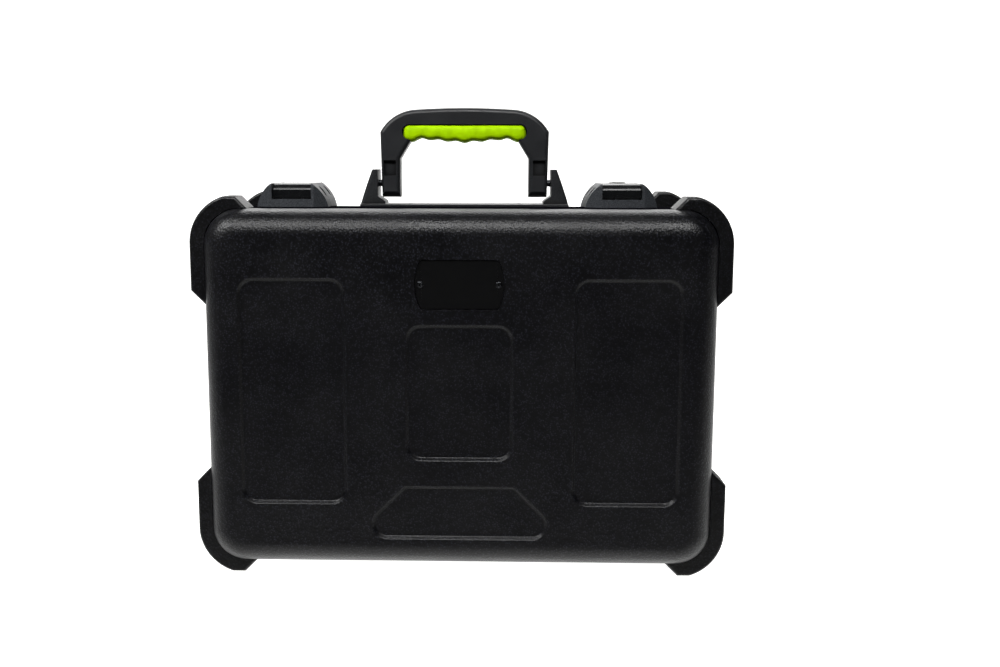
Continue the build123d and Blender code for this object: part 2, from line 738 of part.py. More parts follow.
def nose_waste():
    """What is cut away to leave a flat front with a crease above it."""
    flat_y = LEVER_Y - sqrt(NOSE_R**2 - NOSE_FLAT**2)
    return block(-LEVER_HALF, LEVER_HALF, LEVER_Y - NOSE_R, flat_y, LEVER_Z - NOSE_R, LEVER_Z + NOSE_R)


def lever_right():
    """Lever with the lock bore."""
    y = PART_Y + BASE_BEZEL - LOCK_BACK
    return lever() - stud(LOCK_R + FIT, DOME_H - LEVER_T, DOME_H, 0, y)


def lever_pin():
    """Steel pin of the lever, held in both cheeks."""
    return rod(LEVER_PIN_R, -LEVER_PIN_HALF, LEVER_PIN_HALF, LEVER_Y, LEVER_Z)


def hook_pin():
    """Steel pin of the hook, held in the lever's ears."""
    return rod(HOOK_PIN_R, -EAR_OUT, EAR_OUT, LEVER_Y + HOOK_PIN_D, LEVER_Z)


def hook():
    """Hook that reaches over the keeper rib."""
    y = LEVER_Y + HOOK_PIN_D
    low = LEVER_Z - HOOK_T / 2
    body = rod(HOOK_R, -HOOK_HALF, HOOK_HALF, y, LEVER_Z)
    body += block(-HOOK_HALF, HOOK_HALF, y, y + HOOK_REACH, low, low + HOOK_T)
    lip = y + HOOK_REACH - HOOK_LIP
    body += block(-HOOK_HALF, HOOK_HALF, lip, y + HOOK_REACH, KEEPER_H + NOSE_GAP, low + HOOK_T)
    return body - rod(HOOK_PIN_R + FIT, -HOOK_HALF, HOOK_HALF, y, LEVER_Z)


def lock_cylinder():
    """Key cylinder with its keyway and the cam under the lever plate."""
    y = PART_Y + BASE_BEZEL - LOCK_BACK
    under = DOME_H - LEVER_T
    top = DOME_H + LOCK_PROUD
    head = stud(LOCK_HEAD_R, DOME_H, top, 0, y)
    head = chamfer(head.edges().group_by(Axis.Z)[-1], LOCK_EDGE)
    body = head + stud(LOCK_R, under - CAM_T - FIT, DOME_H, 0, y)
    body += block(-CAM_W / 2, CAM_W / 2, y - CAM_L, y, under - CAM_T - FIT, under - FIT)
    return body - block(-KEYWAY_W / 2, KEYWAY_W / 2, y - KEYWAY_L / 2, y + KEYWAY_L / 2, top - KEYWAY_D, top)


def latch_screws(ys):
    """Screws of one housing half."""
    return Compound([latch_screw(side * SCREW_X, ys) for side in (-1, 1)])


def on_top(part, x):
    """Move a latch piece to its place on the case top."""
    return Pos(x, 0, SHELL_Z1) * part


parts = {
    "lid_shell": lid_shell(),
    "lid_valance": lid_valance(),
    "badge_plate": badge_plate(),
    "badge_screws": badge_screws(),
    "lid_foam": lid_foam(),
    "base_shell": base_shell(),
    "base_valance": base_valance(),
    "base_foam": base_foam(),
    "handle_bracket": handle_bracket(),
    "handle_frame": handle_frame(),
    "handle_grip": handle_grip(),
}
lid_core = lid_block(0, LID_FACE, PART_Y)
base_core = base_block(0, PART_Y, BASE_FACE)
lid_cutter = lid_block(0, LID_FACE, PART_Y, BUMP_FIT)
base_cutter = base_block(0, PART_Y, BASE_FACE, BUMP_FIT)
rear = BASE_FACE - BUMP_INSET - BUMP_DEPTH
for name, side in (("left", -1), ("right", 1)):
    x = LATCH_X[name]
    parts[f"handle_pin_{name}"] = handle_pin(side)
    parts[f"hinge_lid_{name}"] = hinge_lid(side * HINGE_X)
    parts[f"hinge_base_{name}"] = hinge_base(side * HINGE_X)
    parts[f"hinge_pin_{name}"] = hinge_pin(side * HINGE_X)
    parts[f"latch_lid_{name}"] = on_top(latch_lid(), x) - lid_core
    parts[f"latch_base_{name}"] = on_top(latch_base(), x) - base_core
    parts[f"latch_lid_screws_{name}"] = on_top(latch_screws(LID_SCREW_Y), x)
    parts[f"latch_base_screws_{name}"] = on_top(latch_screws(BASE_SCREW_Y), x)
    parts[f"lever_pin_{name}"] = on_top(lever_pin(), x)
    parts[f"hook_pin_{name}"] = on_top(hook_pin(), x)
    parts[f"hook_{name}"] = on_top(hook(), x)
    for level, up in (("top", 1), ("foot", -1)):
        parts[f"lid_bumper_{level}_{name}"] = bumper(side, up, LID_FACE + BUMP_INSET, lid_cutter)
        parts[f"base_bumper_{level}_{name}"] = bumper(side, up, rear, base_cutter)
parts["lever_left"] = on_top(lever(), LATCH_X["left"])
parts["lever_right"] = on_top(lever_right(), LATCH_X["right"])
parts["lock_cylinder"] = on_top(lock_cylinder(), LATCH_X["right"])

for node, part in parts.items():
    export_step(part, f"parts/{node}.step")
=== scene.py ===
import json
import math
import bmesh
import bpy
from mathutils import Matrix, Vector


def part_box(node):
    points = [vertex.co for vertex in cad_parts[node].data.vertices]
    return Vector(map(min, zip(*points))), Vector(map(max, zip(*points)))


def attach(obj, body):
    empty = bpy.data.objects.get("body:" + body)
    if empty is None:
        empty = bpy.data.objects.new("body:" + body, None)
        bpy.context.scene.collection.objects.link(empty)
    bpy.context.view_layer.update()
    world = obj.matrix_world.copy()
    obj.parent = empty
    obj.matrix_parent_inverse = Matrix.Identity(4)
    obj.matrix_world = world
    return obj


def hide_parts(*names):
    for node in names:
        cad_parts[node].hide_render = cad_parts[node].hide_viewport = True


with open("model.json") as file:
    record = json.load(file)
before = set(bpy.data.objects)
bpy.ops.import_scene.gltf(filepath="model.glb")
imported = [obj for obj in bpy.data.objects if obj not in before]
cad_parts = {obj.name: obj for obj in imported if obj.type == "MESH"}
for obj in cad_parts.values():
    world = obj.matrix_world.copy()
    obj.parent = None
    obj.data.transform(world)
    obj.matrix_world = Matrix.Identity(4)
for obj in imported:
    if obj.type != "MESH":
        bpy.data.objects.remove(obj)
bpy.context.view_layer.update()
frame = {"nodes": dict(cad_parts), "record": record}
nodes = frame["nodes"]
mm = 0.001
sides = ("left", "right")
print("frame loaded,", len(nodes), "nodes")

camera = dict(
    place=(0.0304, -0.909, 0.359),  # about an arm's length in front of the lid
    pitchDown=7.345,
    yaw=1.3,
    roll=0.1,
    focalPixels=980.0,
    frameWidth=1000.0,
    sensorWidth=36.0,
    farthest=30.0,
    axisPixel=(474.0, 288.3),  # where the optical axis meets the picture
    frameCentre=(500.0, 333.5),
)


def makeCamera(v):
    data = bpy.data.cameras.new("studioCamera")
    data.sensor_width = v["sensorWidth"]
    data.lens = v["focalPixels"] / v["frameWidth"] * data.sensor_width
    data.shift_x = (v["frameCentre"][0] - v["axisPixel"][0]) / v["frameWidth"]
    data.shift_y = (v["axisPixel"][1] - v["frameCentre"][1]) / v["frameWidth"]
    data.clip_end = v["farthest"]
    eye = linkObject("studioCamera", data)
    eye.location = v["place"]
    turns = ((v["yaw"], "Z"), (90 - v["pitchDown"], "X"), (v["roll"], "Z"))
    pan, tilt, roll = (Matrix.Rotation(math.radians(angle), 3, axis) for angle, axis in turns)
    eye.rotation_euler = (pan @ tilt @ roll).to_euler()
    bpy.context.scene.camera = eye


def linkObject(name, data):
    made = bpy.data.objects.new(name, data)
    bpy.context.scene.collection.objects.link(made)
    return made


def smoothFaces(mesh):
    for face in mesh.polygons:
        face.use_smooth = True


def linear(hexText):  # an sRGB hex colour in Blender's linear values
    parts = [int(hexText[i:i + 2], 16) / 255 for i in (1, 3, 5)]
    return tuple(c / 12.92 if c <= 0.04045 else ((c + 0.055) / 1.055) ** 2.4 for c in parts) + (1.0,)


def addNode(tree, kind, values=None, **settings):  # one node, with its settings and inputs
    made = tree.nodes.new(kind)
    for key, value in settings.items():
        setattr(made, key, value)
    for key, value in (values or {}).items():
        if isinstance(value, bpy.types.NodeSocket):
            tree.links.new(value, made.inputs[key])
        else:
            made.inputs[key].default_value = value
    return made


def calc(tree, operation, *values):  # one Math node
    return addNode(tree, "ShaderNodeMath", dict(enumerate(values)), operation=operation).outputs[0]


stageValues = dict(
    wallColour="#f6f6f5",
    paperRoughness=0.9,
    half=4.0,
    backY=2.6,
    sweep=0.9,
    height=4.0,
    steps=16,
    drop=0.45,  # the floor lies lower than the feet, and a plinth carries the base half
    plinthFrom=(-0.3, 0.008, -0.45),
    plinthTo=(0.3, 0.22, 0.0),
    glow=0.85,
    glowEdge=(-1.0, -0.3),
    seenGlow=0.8,  # paper and sky are brighter to the camera than to the case
    worldColour="#a9abad",
    worldStrength=0.03,
    seenSky=2.6,
)


def forCamera(tree, value):  # a strength that only the camera sees
    return calc(tree, "MULTIPLY", addNode(tree, "ShaderNodeLightPath").outputs["Is Camera Ray"], value)


def litPaper(v):  # translucent paper lit from behind, fading out in front
    made, tree, shader = newMaterial("studioPaper", v["wallColour"], v["paperRoughness"])
    depth = addNode(tree, "ShaderNodeSeparateXYZ", {0: place(tree)}).outputs["Y"]
    behind = spread(tree, depth, 0.0, v["glow"], *v["glowEdge"])
    glow = calc(tree, "MAXIMUM", behind, forCamera(tree, v["seenGlow"]))
    tree.links.new(glow, shader.inputs["Emission Strength"])
    shader.inputs["Emission Color"].default_value = linear(v["wallColour"])
    return made


def makeStage(v):
    work = bmesh.new()
    line = [(-v["half"], 0.0)]
    for i in range(v["steps"] + 1):
        a = math.pi / 2 * i / v["steps"]
        out, up = v["sweep"] * math.sin(a), v["sweep"] * math.cos(a)
        line.append((v["backY"] - v["sweep"] + out, v["sweep"] - up))
    line.append((v["backY"], v["height"]))
    rows = [[work.verts.new((x, y, z - v["drop"])) for x in (-v["half"], v["half"])] for y, z in line]
    for low, high in zip(rows, rows[1:]):
        work.faces.new((low[0], low[1], high[1], high[0])).smooth = True
    mesh = bpy.data.meshes.new("sweepBackdrop")
    work.to_mesh(mesh)
    work.free()
    paper = litPaper(v)
    mesh.materials.append(paper)
    linkObject("sweepBackdrop", mesh)
    low, high = Vector(v["plinthFrom"]), Vector(v["plinthTo"])  # the lid opens in front of it
    block = bmesh.new()
    bmesh.ops.create_cube(block, size=1.0)
    bmesh.ops.scale(block, vec=high - low, verts=block.verts)
    bmesh.ops.translate(block, vec=(low + high) / 2, verts=block.verts)
    plinth = bpy.data.meshes.new("plinth")
    block.to_mesh(plinth)
    block.free()
    plinth.materials.append(paper)
    linkObject("plinth", plinth)
    world = bpy.data.worlds.new("studioWorld")
    world.use_nodes = True
    sky = world.node_tree.nodes["Background"]
    sky.inputs["Color"].default_value = linear(v["worldColour"])
    backdrop = calc(world.node_tree, "ADD", forCamera(world.node_tree, v["seenSky"]), v["worldStrength"])
    world.node_tree.links.new(backdrop, sky.inputs["Strength"])
    bpy.context.scene.world = world


lightList = [
    dict(name="backSoftbox", place=(0.0, 1.1, 1.5), aim=(0, 0.1, 0.2), size=(2.0, 0.7), watts=6, spread=90),
    dict(name="frontSoftbox", place=(0.05, -1.3, 1.6), aim=(0, -0.1, 0.25), size=(2.0, 0.5),
         watts=6, spread=60),
    dict(name="cornerSpot", place=(-1.3, -0.9, 1.5), aim=(-0.2, -0.1, 0.25), size=(0.4, 0.4),
         watts=1.2, spread=40),
    dict(name="leftStrip", place=(-1.6, 0.3, 0.8), aim=(0, 0, 0.2), size=(0.4, 1.2), watts=0.1, spread=90),
    dict(name="rightStrip", place=(1.6, 0.3, 0.8), aim=(0, 0, 0.2), size=(0.4, 1.2), watts=0.05, spread=90),
    dict(name="wallWash", place=(0.0, 1.3, 2.2), aim=(0, 2.6, 0.6), size=(4.0, 0.6), watts=26, spread=130),
]


def makeLight(v):
    data = bpy.data.lights.new(v["name"], "AREA")
    data.shape = "RECTANGLE"
    data.size, data.size_y = v["size"]
    data.energy = v["watts"]
    data.spread = math.radians(v["spread"])
    lamp = linkObject(v["name"], data)
    lamp.location = v["place"]
    lamp.rotation_euler = (Vector(v["aim"]) - Vector(v["place"])).to_track_quat("-Z", "Y").to_euler()


def newMaterial(name, colour, roughness, metallic=0.0, specular=0.5):
    made = bpy.data.materials.new(name)
    made.use_nodes = True
    shader = made.node_tree.nodes["Principled BSDF"]
    shader.inputs["Base Color"].default_value = linear(colour)
    shader.inputs["Roughness"].default_value = roughness
    shader.inputs["Metallic"].default_value = metallic
    shader.inputs["Specular IOR Level"].default_value = specular
    return made, made.node_tree, shader


def place(tree):
    return addNode(tree, "ShaderNodeTexCoord").outputs["Object"]


def noise(tree, where, size, detail=2.0):  # size of one blotch in mm
    values = {"Vector": where, "Scale": 1 / (size * mm), "Detail": detail}
    return addNode(tree, "ShaderNodeTexNoise", values).outputs["Fac"]


def spread(tree, value, low, high, start=0.35, end=0.65):
    span = {"Value": value, "From Min": start, "From Max": end, "To Min": low, "To Max": high}
    return addNode(tree, "ShaderNodeMapRange", span).outputs["Result"]


def blend(tree, factor, first, second):  # one colour fading to another
    made = addNode(tree, "ShaderNodeMix", {0: factor, 6: linear(first), 7: linear(second)}, data_type="RGBA")
    return made.outputs[2]


def emboss(tree, shader, height, depth):  # depth in mm
    bump = addNode(tree, "ShaderNodeBump", {"Height": height, "Distance": depth * mm, "Strength": 1.0})
    tree.links.new(bump.outputs["Normal"], shader.inputs["Normal"])


makeCamera(camera)
makeStage(stageValues)
for light in lightList:
    makeLight(light)
bpy.context.scene.view_settings.view_transform = "Standard"
print("camera, backdrop and lights ready")


pebbleGrain = dict(
    # high is the painted glint colour given to the pebble tops
    low="#050507", high="#2c2d36", roughness=0.36, specular=0.32,
    cell=1.8, smoothness=0.35, fine=0.8, fineDetail=3.0, fineShare=0.5, depth=0.2,
    blotch=45.0, blotchDetail=4.0, glossier=0.04, duller=0.05,
    glintsFrom=0.84, glintsTo=1.28, fadeFrom=0.82, fadeTo=0.94,
)


def fadingGloss(tree, shader, v):  # the grain hides the gloss of a surface seen edge-on
    edgeOn = addNode(tree, "ShaderNodeLayerWeight", {"Blend": 0.5}).outputs["Facing"]
    gloss = spread(tree, edgeOn, v["specular"], 0.0, v["fadeFrom"], v["fadeTo"])
    tree.links.new(gloss, shader.inputs["Specular IOR Level"])


def pebbledPolyethylene(name, v):  # moulded polyethylene with a pebbled mould grain
    made, tree, shader = newMaterial(name, v["low"], v["roughness"], specular=v["specular"])
    where = place(tree)
    values = {"Vector": where, "Scale": 1 / (v["cell"] * mm), "Smoothness": v["smoothness"]}
    cells = addNode(tree, "ShaderNodeTexVoronoi", values, feature="SMOOTH_F1")
    domes = calc(tree, "SUBTRACT", 1.0, cells.outputs["Distance"])
    fine = noise(tree, where, v["fine"], v["fineDetail"])
    grain = calc(tree, "MULTIPLY_ADD", fine, v["fineShare"], domes)
    emboss(tree, shader, grain, v["depth"])
    fadingGloss(tree, shader, v)
    paintedGlints = spread(tree, grain, 0.0, 1.0, v["glintsFrom"], v["glintsTo"])  # the pebble tops are painted lighter: a painted glint on each pebble
    tree.links.new(blend(tree, paintedGlints, v["low"], v["high"]), shader.inputs["Base Color"])
    clouds = noise(tree, where, v["blotch"], v["blotchDetail"])
    sheen = spread(tree, clouds, v["roughness"] - v["glossier"], v["roughness"] + v["duller"])
    tree.links.new(sheen, shader.inputs["Roughness"])
    return made


# the last four values paint shade into recesses with an ambient occlusion node
nylon = dict(specular=0.38, detail=4.0, blotch=18.0, vary=0.05,
             paintedShadeReach=8.0, paintedShadeColour="#050506", paintedShadeRange=(0.6, 0.95), paintedShadeRays=8)


def texturedNylon(name, low, high, roughness, cell, depth, v=nylon):  # spark-eroded mould texture
    made, tree, shader = newMaterial(name, low, roughness, specular=v["specular"])
    where = place(tree)
    fine = noise(tree, where, cell, v["detail"])
    emboss(tree, shader, fine, depth)
    surface = blend(tree, spread(tree, fine, 0.0, 1.0), low, high)
    near = {"Distance": v["paintedShadeReach"] * mm}
    shadeOcclusion = addNode(tree, "ShaderNodeAmbientOcclusion", near, only_local=True, samples=v["paintedShadeRays"])
    shade = spread(tree, shadeOcclusion.outputs["AO"], 0.0, 1.0, *v["paintedShadeRange"])  # painted shade: an ambient occlusion node darkens the colour in recesses
    colours = {0: shade, 6: linear(v["paintedShadeColour"]), 7: surface}
    shaded = addNode(tree, "ShaderNodeMix", colours, data_type="RGBA").outputs[2]
    tree.links.new(shaded, shader.inputs["Base Color"])
    clouds = noise(tree, where, v["blotch"])
    sheen = spread(tree, clouds, roughness - v["vary"], roughness + v["vary"])
    tree.links.new(sheen, shader.inputs["Roughness"])
    return made


plating = dict(roughness=0.32, fine=1.5, detail=4.0, dullFrom=0.24, dullTo=0.42, clouds=4.0)


def platedSteel(name, colour, cloud, v=plating):  # zinc or black oxide, with the cloudy look of plating
    made, tree, shader = newMaterial(name, colour, v["roughness"], metallic=1.0)
    where = place(tree)
    fine = noise(tree, where, v["fine"], v["detail"])
    tree.links.new(spread(tree, fine, v["dullFrom"], v["dullTo"]), shader.inputs["Roughness"])
    tree.links.new(blend(tree, noise(tree, where, v["clouds"]), colour, cloud), shader.inputs["Base Color"])
    return made


powder = dict(roughness=0.42, peel=0.9, detail=1.0, depth=0.05)


def powderCoat(name, colour, v=powder):  # orange-peel skin of baked powder
    made, tree, shader = newMaterial(name, colour, v["roughness"])
    emboss(tree, shader, noise(tree, place(tree), v["peel"], v["detail"]), v["depth"])
    return made


extrusion = dict(roughness=0.36, drawn=(0.02, 1.0, 0.02), line=0.25, depth=0.02, dullFrom=0.3, dullTo=0.45)


def anodisedExtrusion(name, colour, v=extrusion):  # die lines run along the extrusion, round the rim
    made, tree, shader = newMaterial(name, colour, v["roughness"], metallic=1.0)
    drawn = addNode(tree, "ShaderNodeVectorMath", {0: place(tree), 1: v["drawn"]}, operation="MULTIPLY")
    lines = noise(tree, drawn.outputs[0], v["line"])
    emboss(tree, shader, lines, v["depth"])
    tree.links.new(spread(tree, lines, v["dullFrom"], v["dullTo"]), shader.inputs["Roughness"])
    return made


cutFoam = dict(roughness=0.95, specular=0.15, cell=0.9, depth=0.5, cellEdge=(0.15, 0.6),
               sheen=0.25, sheenRoughness=0.6)


def openCellFoam(name, low, high, v=cutFoam):  # cut polyurethane foam, with its open cells
    made, tree, shader = newMaterial(name, low, v["roughness"], specular=v["specular"])
    values = {"Vector": place(tree), "Scale": 1 / (v["cell"] * mm)}
    cells = addNode(tree, "ShaderNodeTexVoronoi", values).outputs["Distance"]
    emboss(tree, shader, cells, v["depth"])
    walls = spread(tree, cells, 0.0, 1.0, *v["cellEdge"])
    tree.links.new(blend(tree, walls, low, high), shader.inputs["Base Color"])
    shader.inputs["Sheen Weight"].default_value = v["sheen"]
    shader.inputs["Sheen Roughness"].default_value = v["sheenRoughness"]
    return made


rubber = dict(roughness=0.5, specular=0.06, fine=0.35, depth=0.03, blotch=9.0)


def softElastomer(name, low, high, v=rubber):  # overmoulded grip rubber, fine matt texture
    made, tree, shader = newMaterial(name, high, v["roughness"], specular=v["specular"])
    where = place(tree)
    emboss(tree, shader, noise(tree, where, v["fine"]), v["depth"])
    clouds = spread(tree, noise(tree, where, v["blotch"]), 0.0, 1.0)
    tree.links.new(blend(tree, clouds, low, high), shader.inputs["Base Color"])
    return made


plate = dict(roughness=0.3, rolled=0.8, detail=3.0, depth=0.03)


def satinPlate(name, low, high, v=plate):  # lacquered plate with a faint rolled texture
    made, tree, shader = newMaterial(name, low, v["roughness"])
    fine = noise(tree, place(tree), v["rolled"], v["detail"])
    emboss(tree, shader, fine, v["depth"])
    tree.links.new(blend(tree, fine, low, high), shader.inputs["Base Color"])
    return made


mats = {
    "shell": pebbledPolyethylene("pebbledShell", pebbleGrain),
    # its high colour is the painted glint colour of the pebble tops
    "bumper": pebbledPolyethylene("pebbledBumper", dict(pebbleGrain, low="#040405", high="#23242b")),
    "housing": texturedNylon("texturedHousing", "#1a1c1e", "#43464b", 0.5, 0.6, 0.05),
    "lever": texturedNylon("smoothLever", "#0c0d0e", "#121315", 0.28, 0.8, 0.008),
    "hook": texturedNylon("mouldedHook", "#1a1b1d", "#17181a", 0.4, 0.7, 0.02),
    "steel": platedSteel("zincPlatedSteel", "#87898b", "#a9a79f"),
    "hinge": powderCoat("powderCoatedSteel", "#191a1c"),
    "valance": anodisedExtrusion("blackAnodisedAluminium", "#232427"),
    "badge": satinPlate("badgeLacquer", "#020203", "#050506"),
    "foam": openCellFoam("charcoalFoam", "#151618", "#37393d"),
    "handle": texturedNylon("handleNylon", "#151617", "#2b2c2f", 0.4, 0.7, 0.04),
    "grip": softElastomer("limeElastomer", "#aadd00", "#bbee00"),
}
blackOxide = platedSteel("blackOxideSteel", "#1d1e20", "#3c3d40")
print("materials ready")

dressing = dict(
    weld=0.002, sharpAngle=38.0, segments=3, flatness=100,
    roundings={"shell": 0.9, "bumper": 1.8, "housing": 0.9, "lever": 0.45, "hook": 0.3,
               "handle": 0.5, "hinge": 0.3, "badge": 0.15, "steel": 0.2},
)


def dressNode(node, slot, v):
    node.data.materials.clear()
    node.data.materials.append(mats[slot])
    smoothFaces(node.data)
    weld = node.modifiers.new("weld", "WELD")
    weld.merge_threshold = v["weld"] * mm
    if slot in v["roundings"]:
        soft = node.modifiers.new("edgeRounding", "BEVEL")
        soft.limit_method = "ANGLE"
        soft.angle_limit = math.radians(v["sharpAngle"])
        soft.width = v["roundings"][slot] * mm
        soft.segments = v["segments"]
        soft.use_clamp_overlap = True
    flat = node.modifiers.new("flatFaces", "WEIGHTED_NORMAL")
    flat.weight = v["flatness"]


slotOf = {row["node"]: row["material_slot"] for row in frame["record"]["subparts"]}
for name, node in nodes.items():
    dressNode(node, slotOf[name], dressing)
for side in sides:
    nodes["handle_pin_" + side].data.materials[0] = blackOxide
print("construction pieces dressed")


def newTree(name, inputs):  # an empty Geometry Nodes tree with named inputs
    tree = bpy.data.node_groups.new(name, "GeometryNodeTree")
    tree.interface.new_socket("Geometry", in_out="OUTPUT", socket_type="NodeSocketGeometry")
    tree.interface.new_socket("Geometry", in_out="INPUT", socket_type="NodeSocketGeometry")
    for label, kind in inputs.items():
        tree.interface.new_socket(label, in_out="INPUT", socket_type="NodeSocket" + kind)
    return tree, addNode(tree, "NodeGroupInput").outputs


def endTree(tree, geometry, material):  # realised, with its material
    real = addNode(tree, "GeometryNodeRealizeInstances", {"Geometry": geometry}).outputs[0]
    painted = addNode(tree, "GeometryNodeSetMaterial", {"Geometry": real, "Material": material}).outputs[0]
    addNode(tree, "NodeGroupOutput", {"Geometry": painted})


def growPiece(name, startMesh, tree, values):  # run a tree and keep its result as a plain mesh
    carrier = linkObject(name + "Start", startMesh)
    grower = carrier.modifiers.new("grower", "NODES")
    grower.node_group = tree
    for item in tree.interface.items_tree:
        if item.in_out == "INPUT" and item.name in values:
            grower[item.identifier] = values[item.name]
    seen = carrier.evaluated_get(bpy.context.evaluated_depsgraph_get())
    mesh = bpy.data.meshes.new_from_object(seen)
    bpy.data.objects.remove(carrier)
    smoothFaces(mesh)
    return linkObject(name, mesh)


def finishPiece(piece, body, replaced=()):
    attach(piece, body)
    if replaced:
        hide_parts(*replaced)


panHead = dict(radius=2.9, height=2.1, crown=0.7, edge=0.5, edgeDrop=0.5, crossReach=1.7, crossHalf=0.5,
               crossDepth=1.4, endSlope=0.45, sideSlope=0.4, rings=18, steps=72, seed=3)
badgeHead = dict(panHead, height=1.15, crown=0.8, crossDepth=0.8, seed=5)
sunkHead = dict(panHead, radius=3.4, height=0.6, crown=0.15, edge=0.3, crossReach=2.0, crossHalf=0.55,
                crossDepth=1.5, seed=7)
rivetHead = dict(panHead, radius=2.6, height=1.1, crown=0.9, edge=0.4, crossDepth=0.0, seed=9)


def headMesh(name, v):  # round fastener head, its underside at z = 0, with a cross recess
    work = bmesh.new()
    rings = []
    for i in range(1, v["rings"] + 1):
        r = v["radius"] * i / v["rings"]
        ring = []
        for j in range(v["steps"]):
            a = 2 * math.pi * j / v["steps"]
            x, y = r * math.cos(a), r * math.sin(a)
            out = max(0.0, (r - v["radius"] + v["edge"]) / v["edge"])
            top = v["height"] - v["crown"] * (r / v["radius"]) ** 2 - v["edgeDrop"] * v["edge"] * out ** 2
            arm = max(crossCut(x, y, v), crossCut(y, x, v))
            ring.append(work.verts.new((x * mm, y * mm, (top - arm * v["crossDepth"]) * mm)))
        rings.append(ring)
    middle = work.verts.new((0, 0, (v["height"] - v["crossDepth"]) * mm))
    foot = [work.verts.new((p.co.x, p.co.y, 0)) for p in rings[-1]]
    rings.append(foot)
    for j in range(v["steps"]):
        k = (j + 1) % v["steps"]
        work.faces.new((middle, rings[0][j], rings[0][k]))
        for inner, outer in zip(rings, rings[1:]):
            work.faces.new((inner[j], outer[j], outer[k], inner[k]))
    mesh = bpy.data.meshes.new(name)
    work.to_mesh(mesh)
    work.free()
    return mesh


def crossCut(a, b, v):  # 1 inside one bar of the cross, fading at its sloped ends
    along = (v["crossReach"] - abs(a)) / (v["endSlope"] * v["crossReach"])
    aside = (v["crossHalf"] - abs(b)) / (v["sideSlope"] * v["crossHalf"])
    return max(0.0, min(1.0, along)) * max(0.0, min(1.0, aside))


def fastenerTree():  # heads standing on points, each turned by chance
    inputs = dict(Head="Object", Facing="Vector", Twist="Float", Seed="Int", Finish="Material")
    tree, given = newTree("fastenersInPlace", inputs)
    head = addNode(tree, "GeometryNodeObjectInfo", {"Object": given["Head"]}).outputs["Geometry"]
    facing = addNode(tree, "FunctionNodeEulerToRotation", {0: given["Facing"]}).outputs[0]
    points = {"Points": given["Geometry"], "Instance": head, "Rotation": facing}
    stood = addNode(tree, "GeometryNodeInstanceOnPoints", points).outputs[0]
    drawn = {"Max": given["Twist"], "Seed": given["Seed"]}
    chance = addNode(tree, "FunctionNodeRandomValue", drawn, data_type="FLOAT")
    spin = addNode(tree, "ShaderNodeCombineXYZ", {"Z": chance.outputs["Value"]}).outputs[0]
    turn = addNode(tree, "FunctionNodeEulerToRotation", {0: spin}).outputs[0]
    values = {"Instances": stood, "Rotation": turn, "Local Space": True}
    turned = addNode(tree, "GeometryNodeRotateInstances", values)
    endTree(tree, turned.outputs[0], given["Finish"])
    return tree


def fasteners(name, points, head, facing, finish):
    start = bpy.data.meshes.new(name + "Points")
    start.from_pydata(points, [], [])
    shape = linkObject(name + "Head", headMesh(name + "Head", head))
    values = dict(Head=shape, Facing=facing, Twist=math.pi / 2, Seed=head["seed"], Finish=finish)
    made = growPiece(name, start, fastenerPlacer, values)
    bpy.data.objects.remove(shape)
    return made


def pairPlaces(node, radius, seat):  # the two screws of one node, by its box
    low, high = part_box(node)
    return [(x, (low[1] + high[1]) / 2, seat) for x in (low[0] + radius * mm, high[0] - radius * mm)]


fastenerPlacer = fastenerTree()
facings = dict(up=(0, 0, 0), down=(math.pi, 0, 0), front=(math.pi / 2, 0, 0))
for half in ("lid", "base"):
    names = [f"latch_{half}_screws_{side}" for side in sides]
    spots = []
    for name in names:
        spots += pairPlaces(name, panHead["radius"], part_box(name)[1][2] - panHead["height"] * mm)
    made = fasteners(half + "LatchScrews", spots, panHead, facings["up"], blackOxide)
    finishPiece(made, half, names)
low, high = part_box("badge_screws")
spots = [(x, low[1] + badgeHead["height"] * mm, (low[2] + high[2]) / 2)
         for x in (low[0] + badgeHead["radius"] * mm, high[0] - badgeHead["radius"] * mm)]
made = fasteners("badgeScrewHeads", spots, badgeHead, facings["front"], blackOxide)
finishPiece(made, "lid", ["badge_screws"])

bracket = dict(plateTop=319.5, screwX=52.0, screwY=(22.0, 42.0), sink=0.35)
spots = [(x * mm, y * mm, (bracket["plateTop"] - bracket["sink"]) * mm)
         for x in (-bracket["screwX"], bracket["screwX"]) for y in bracket["screwY"]]
finishPiece(fasteners("bracketScrews", spots, sunkHead, facings["up"], blackOxide), "base")

hingeLeaf = dict(under=10.5, rivetIn=9.0, fromPin=11.0, rows=2, rowPitch=12.0)


def rivetPlaces(half, v):  # four rivets through each leaf
    spots = []
    for side in sides:
        low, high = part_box(f"hinge_{half}_{side}")
        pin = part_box(f"hinge_pin_{side}")
        pinY = (pin[0][1] + pin[1][1]) / 2
        way = 1 if half == "base" else -1
        for x in (low[0] + v["rivetIn"] * mm, high[0] - v["rivetIn"] * mm):
            for row in range(v["rows"]):
                spots.append((x, pinY + way * (v["fromPin"] + row * v["rowPitch"]) * mm, v["under"] * mm))
    return spots


for half in ("lid", "base"):
    spots = rivetPlaces(half, hingeLeaf)
    made = fasteners(half + "HingeRivets", spots, rivetHead, facings["down"], mats["hinge"])
    finishPiece(made, half)
print("fasteners in place")

eggCrate = dict(pitch=30.0, wave=5.0, grid=3.0, corner=23.8, merge=0.01, least=0.1)


